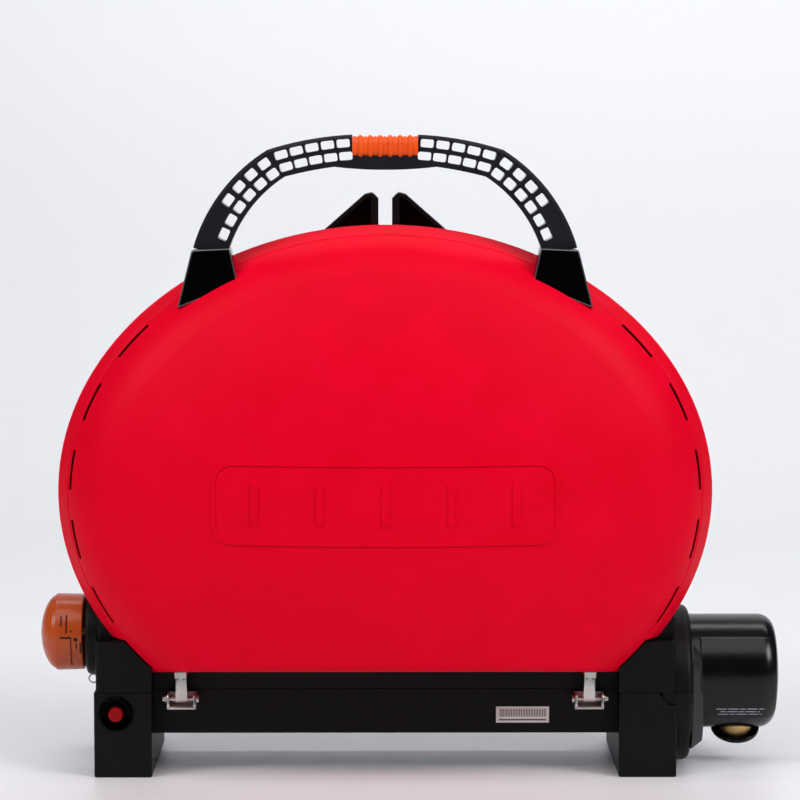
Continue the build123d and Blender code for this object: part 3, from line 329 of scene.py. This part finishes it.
def makeGrip():
    bm = bmesh.new()
    middle = ((grip["back"] + grip["front"]) / 2, (grip["foot"] + grip["top"]) / 2)
    halfDeep = (grip["back"] - grip["front"]) / 2 - 0.1
    halfTall = (grip["top"] - grip["foot"]) / 2 - 0.1
    corners = []
    for start, across, up in ((0, 1, 1), (90, -1, 1), (180, -1, -1), (270, 1, -1)):
        centre = (across * (halfDeep - grip["round"]), up * (halfTall - grip["round"]))
        corners += arc(centre, grip["round"], start, start + 90, 8)
    points = [(-grip["half"], middle[0] + d, middle[1] + t) for d, t in corners]
    verts, edges = wire(bm, points)
    edges.append(bm.edges.new((verts[-1], verts[0])))
    ring = edges
    bmesh.ops.contextual_create(bm, geom=ring)
    step = 2 * grip["half"] / grip["rings"]
    for i in range(1, grip["rings"] + 1):
        grown = bmesh.ops.extrude_edge_only(bm, edges=ring)["geom"]
        ringVerts = [g for g in grown if isinstance(g, bmesh.types.BMVert)]
        ring = [g for g in grown if isinstance(g, bmesh.types.BMEdge)]
        bmesh.ops.translate(bm, verts=ringVerts, vec=(step, 0, 0))
    bmesh.ops.contextual_create(bm, geom=ring)
    for vert in bm.verts:
        out = Vector((0, vert.co.y - middle[0], vert.co.z - middle[1]))
        vert.co += out.normalized() * ribLift(vert.co.x)
    finishPiece("grip_sleeve", bm, gripRubber, "lid", ("handle_grip",), 60)


# Handle sockets: polished wedges with softly broken edges; their forward-facing bevels get a lighter grey as a painted
# highlight

socket = {"face": [(-160.6, 371.9), (-149.3, 416.8), (-119.7, 418.2), (-113.8, 390.7)], "front": -33.0,
          "back": -3.0, "rim": 1.1, "flat": 0.97}


def makeSockets():
    for side, sign in (("left", 1), ("right", -1)):
        bm = bmesh.new()
        outline = [(sign * x, socket["back"], z) for x, z in socket["face"]]
        plate(bm, outline, (0, socket["front"] - socket["back"], 0), socket["rim"], 3)
        piece = finishPiece(f"handle_socket_{side}_shell", bm, glossAbs, "lid",
                            (f"handle_socket_{side}",), 60)
        piece.data.materials.append(socketHighlightAbs)
        for face in piece.data.polygons:
            # forward-facing bevel faces take the lighter grey: painted highlight
            face.material_index = int(max(abs(n) for n in face.normal) < socket["flat"] and face.normal.y < -0.2)


# Lid hinges: a pressed leaf with a rolled barrel, and a folded bracket with two round ears

hinge = {"x": 160.7, "y": -2.0, "z": 61.5, "half": 11.4, "sheet": 2.0, "earRadius": 5.2, "foot": 54.0,
         "front": -8.0, "back": 10.0, "leafHalf": 4.5, "leafTop": 82.0, "lip": (-16.6, -15.1), "lipTop": 84.9, "barrel": 3.35}


def makeHinge(side, sign):
    x = sign * hinge["x"]
    bm = bmesh.new()
    for start in (x - hinge["half"], x + hinge["half"] - hinge["sheet"]):
        crown = arc((hinge["y"], hinge["z"]), hinge["earRadius"], 0, 180, 14)
        outline = [(hinge["back"], hinge["foot"]), (hinge["back"], hinge["z"] + 2.5)] + crown
        outline += [(hinge["front"], hinge["z"] - 3), (hinge["front"], hinge["foot"])]
        plate(bm, [(start, y, z) for y, z in outline], (hinge["sheet"], 0, 0), 0.45, 2)
    inner = hinge["half"] - 0.3
    floorPlate = [(x - inner, y, hinge["foot"]) for y in (hinge["front"], hinge["back"])]
    floorPlate += [(x + inner, y, hinge["foot"]) for y in (hinge["back"], hinge["front"])]
    plate(bm, floorPlate, (0, 0, hinge["sheet"]), 0.4, 2)
    backPlate = [(x - inner, hinge["back"], z) for z in (hinge["foot"], hinge["z"] + 4)]
    backPlate += [(x + inner, hinge["back"], z) for z in (hinge["z"] + 4, hinge["foot"])]
    plate(bm, backPlate, (0, -hinge["sheet"], 0), 0.4, 2)
    finishPiece(f"hinge_bracket_{side}_pressing", bm, zincSteel, "base", (f"hinge_bracket_{side}",))
    bm = bmesh.new()
    around = arc((hinge["y"], hinge["z"]), hinge["barrel"], -158, 128, 26)
    leaf = around + [(-4.6, hinge["z"] + 5.5), (-4.6, hinge["leafTop"] - 3.6), (-5.4, hinge["leafTop"] - 2.2)]
    lipFront, lipBack = hinge["lip"]
    leaf += [(lipFront + 0.8, hinge["leafTop"] - 2.0), (lipFront, hinge["leafTop"] - 1.2)]
    leaf += [(lipFront, hinge["lipTop"]), (lipBack, hinge["lipTop"]), (lipBack, hinge["leafTop"])]
    leaf += [(-5.2, hinge["leafTop"])]
    leaf += [(-6.3, hinge["leafTop"] - 1.6), (-6.5, hinge["leafTop"] - 4), (-6.5, hinge["z"] + 1)]
    plate(bm, [(x - hinge["leafHalf"], y, z) for y, z in leaf], (2 * hinge["leafHalf"], 0, 0))
    finishPiece(f"lid_hinge_leaf_{side}_pressing", bm, zincSteel, "lid", (f"lid_hinge_leaf_{side}",))


# Regulator: a moulded drum, with a raised panel that follows its side and wraps its end

drum = {"y": 55.0, "z": 74.3, "radius": 45.5, "start": 243.2, "end": 315.5, "corner": 13.0, "bulge": 10.0,
        "bulgeRise": 3.0, "inlet": (282.4, 60.0, 25.5), "tilt": 30.0}
cover = {"lift": 1.9, "rim": 1.1, "highlightFrom": 0.15, "highlightTo": 0.97, "from": 250.0, "along": 61.6, "angles": (-46.0, 43.5), "corner": 8.0, "rows": 66,
         "columns": 44}


def drumProfile(grow=0.0):
    edgeX = drum["end"] - drum["corner"] - drum["bulgeRise"]
    radius, corner = drum["radius"] + grow, drum["corner"] + grow
    bend = arc((edgeX, radius - corner), corner, 90, drum["bulge"], 16)
    crownRadius = bend[-1][1] / math.sin(math.radians(drum["bulge"]))
    crownX = bend[-1][0] - crownRadius * math.cos(math.radians(drum["bulge"]))
    return [(drum["start"], radius)] + bend + arc((crownX, 0), crownRadius, drum["bulge"], 0, 10)[1:]


def makeDrum():
    bm = bmesh.new()
    outline = drumProfile()
    turn(bm, [(x, drum["y"], drum["z"] + r) for x, r in outline], (0, drum["y"], drum["z"]), (1, 0, 0), 128)
    finishPiece("regulator_drum", bm, drumAbs, "base", ("regulator_housing",), 60)


def makeCover():
    bm = bmesh.new()
    low, high = cover["angles"]
    tall = math.radians(high - low) * drum["radius"]
    r, w = cover["corner"], cover["along"]
    outline = arc((w - r, tall - r), r, 90, 0, 8) + arc((w - r, r), r, 0, -90, 8)
    outline = [(0, 0, 0), (0, tall, 0)] + [(x, y, 0) for x, y in outline]
    verts, edges = wire(bm, outline)
    edges.append(bm.edges.new((verts[-1], verts[0])))
    bmesh.ops.contextual_create(bm, geom=edges)
    for axis, count, size in (((1, 0, 0), cover["columns"], w), ((0, 1, 0), cover["rows"], tall)):
        for i in range(1, count):
            spot = tuple(a * size * i / count for a in axis)
            geom = bm.verts[:] + bm.edges[:] + bm.faces[:]
            bmesh.ops.bisect_plane(bm, geom=geom, plane_co=spot, plane_no=axis, dist=1e-5)
    grown = bmesh.ops.extrude_face_region(bm, geom=bm.faces[:])["geom"]
    top = [g for g in grown if isinstance(g, bmesh.types.BMVert)]
    bmesh.ops.translate(bm, verts=top, vec=(0, 0, cover["lift"]))
    rimEdges = [e for e in bm.edges if all(v.co.z > cover["lift"] / 2 for v in e.verts)
                and e.calc_face_angle(0) > 1.0]
    bmesh.ops.bevel(bm, geom=rimEdges, offset=cover["rim"], offset_type="OFFSET", segments=3,
                    profile=0.5, affect="EDGES", material=-1)
    bmesh.ops.recalc_face_normals(bm, faces=bm.faces)
    # sloped rim faces of the panel take the lighter grey: painted highlight
    for face in bm.faces:
        face.material_index = int(cover["highlightFrom"] < abs(face.normal.z) < cover["highlightTo"])
    profile = drumProfile()
    lengths = [0.0]
    for a, b in zip(profile, profile[1:]):
        lengths.append(lengths[-1] + math.dist(a, b))
    for vert in bm.verts:
        travel = vert.co.x + cover["from"] - drum["start"]
        i = max(j for j, length in enumerate(lengths[:-1]) if length <= travel + 1e-6)
        share = (travel - lengths[i]) / (lengths[i + 1] - lengths[i])
        (x0, r0), (x1, r1) = profile[i], profile[i + 1]
        lean = math.atan2(x1 - x0, r0 - r1)
        x = x0 + share * (x1 - x0) + vert.co.z * math.cos(lean)
        radius = r0 + share * (r1 - r0) + (vert.co.z - 0.02) * math.sin(lean)
        angle = math.radians(high) - (tall - vert.co.y) / drum["radius"]
        vert.co = (x, drum["y"] - radius * math.cos(angle), drum["z"] + radius * math.sin(angle))
    panel = finishPiece("regulator_panel", bm, drumAbs, "base", ("regulator_cover",), 50)
    panel.data.materials.append(panelHighlightAbs)


coverLines = {"x": (263.0, 301.0), "angles": (-30.5, -34.0, -37.4), "half": 0.3}


def makeCoverLines():
    bm = bmesh.new()
    reach = drum["radius"] + cover["lift"] + 0.03
    for row, angle in enumerate(coverLines["angles"]):
        start = math.radians(angle)
        spot = (drum["y"] - reach * math.cos(start), drum["z"] + reach * math.sin(start))
        wide = math.degrees(2 * coverLines["half"] / reach)
        inset = (0.0, 3.5, 1.5)[row]
        x = coverLines["x"][0] + inset
        while x < coverLines["x"][1] - inset:
            end = min(x + 4.2 + 2.1 * ((row + int(x)) % 3), coverLines["x"][1] - inset)
            turn(bm, [(x, *spot), (end, *spot)], (0, drum["y"], drum["z"]), (-1, 0, 0), 1, -wide)
            x = end + 1.1
    finishPiece("regulator_print_lines", bm, whiteInk, "base")


makeKnob()
makeKnobMarks()
makeGrip()
makeSockets()
makeHinge("left", -1)
makeHinge("right", 1)
makeDrum()
makeCover()
makeCoverLines()
print("moulded and pressed pieces ready")


# Studio: a seamless pale sweep, soft boxes and the camera

studio = {"halfWidth": 1.7, "front": -1.0, "back": 2.6, "height": 3.6, "foldRadius": 1.2}


def makeSweep():
    bm = bmesh.new()
    width, depth = studio["halfWidth"], (studio["back"] - studio["front"]) / 2
    bmesh.ops.create_grid(bm, x_segments=1, y_segments=1, size=1.0)
    bmesh.ops.scale(bm, verts=bm.verts, vec=(width, depth, 1))
    bmesh.ops.translate(bm, verts=bm.verts, vec=(0, studio["front"] + depth, 0))
    bm.edges.ensure_lookup_table()
    backEdge = max(bm.edges, key=lambda e: e.verts[0].co.y + e.verts[1].co.y)
    grown = bmesh.ops.extrude_edge_only(bm, edges=[backEdge])
    wallTop = [g for g in grown["geom"] if isinstance(g, bmesh.types.BMVert)]
    bmesh.ops.translate(bm, verts=wallTop, vec=(0, 0, studio["height"]))
    fold = [e for e in bm.edges if len(e.link_faces) == 2]
    bmesh.ops.bevel(bm, geom=fold, offset=studio["foldRadius"], offset_type="OFFSET", segments=32,
                    profile=0.5, affect="EDGES", material=-1)
    mesh = bpy.data.meshes.new("studio_sweep")
    bm.to_mesh(mesh)
    bm.free()
    for face in mesh.polygons:
        face.use_smooth = True
    sweep = bpy.data.objects.new("studio_sweep", mesh)
    bpy.context.scene.collection.objects.link(sweep)
    material, tree, shader = newMaterial("pale_studio_paper")
    shader.inputs["Base Color"].default_value = hexColour("#E4E5E9")
    shader.inputs["Roughness"].default_value = 0.42
    mesh.materials.append(material)


lights = {
    "overhead": {"place": (0.0, -1.15, 2.15), "aim": (0, 0, 0.2), "size": (2.4, 1.5), "power": 24},
    "left": {"place": (-2.4, -1.7, 2.1), "aim": (0, 0, 0.25), "size": (1.3, 1.3), "power": 51},
    "right": {"place": (2.4, -1.7, 2.1), "aim": (0, 0, 0.25), "size": (1.3, 1.3), "power": 64},
    "backdrop": {"place": (0.45, 1.0, 2.7), "aim": (0.3, 2.6, 0.5), "size": (3.2, 0.8), "power": 42},
}
air = {"colour": "#DFE6F2", "strength": 0.09}


def makeLights():
    for name, light in lights.items():
        data = bpy.data.lights.new(name, "AREA")
        data.shape = "RECTANGLE"
        data.size, data.size_y = light["size"]
        data.energy = light["power"]
        lamp = bpy.data.objects.new(name, data)
        lamp.location = light["place"]
        away = Vector(light["aim"]) - Vector(light["place"])
        lamp.rotation_euler = away.to_track_quat("-Z", "Y").to_euler()
        bpy.context.scene.collection.objects.link(lamp)
    world = bpy.data.worlds.new("studio_air")
    world.use_nodes = True
    world.node_tree.nodes["Background"].inputs["Color"].default_value = hexColour(air["colour"])
    world.node_tree.nodes["Background"].inputs["Strength"].default_value = air["strength"]
    bpy.context.scene.world = world


camera = {"distance": 2.6, "height": 0.532, "pitch": 5.143, "yaw": 0.253, "lens": 150.0}


def makeCamera():
    low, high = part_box("lid_shell")
    lens = bpy.data.cameras.new("camera")
    lens.lens = camera["lens"]
    lens.sensor_width = 36.0
    eye = bpy.data.objects.new("camera", lens)
    eye.location = ((low.x + high.x) / 2, high.y - camera["distance"], camera["height"])
    eye.rotation_euler = (math.radians(90 - camera["pitch"]), 0, -math.radians(camera["yaw"]))
    bpy.context.scene.collection.objects.link(eye)
    bpy.context.scene.camera = eye


makeSweep()
makeLights()
makeCamera()
bpy.context.scene.view_settings.view_transform = "Standard"
print("studio ready")
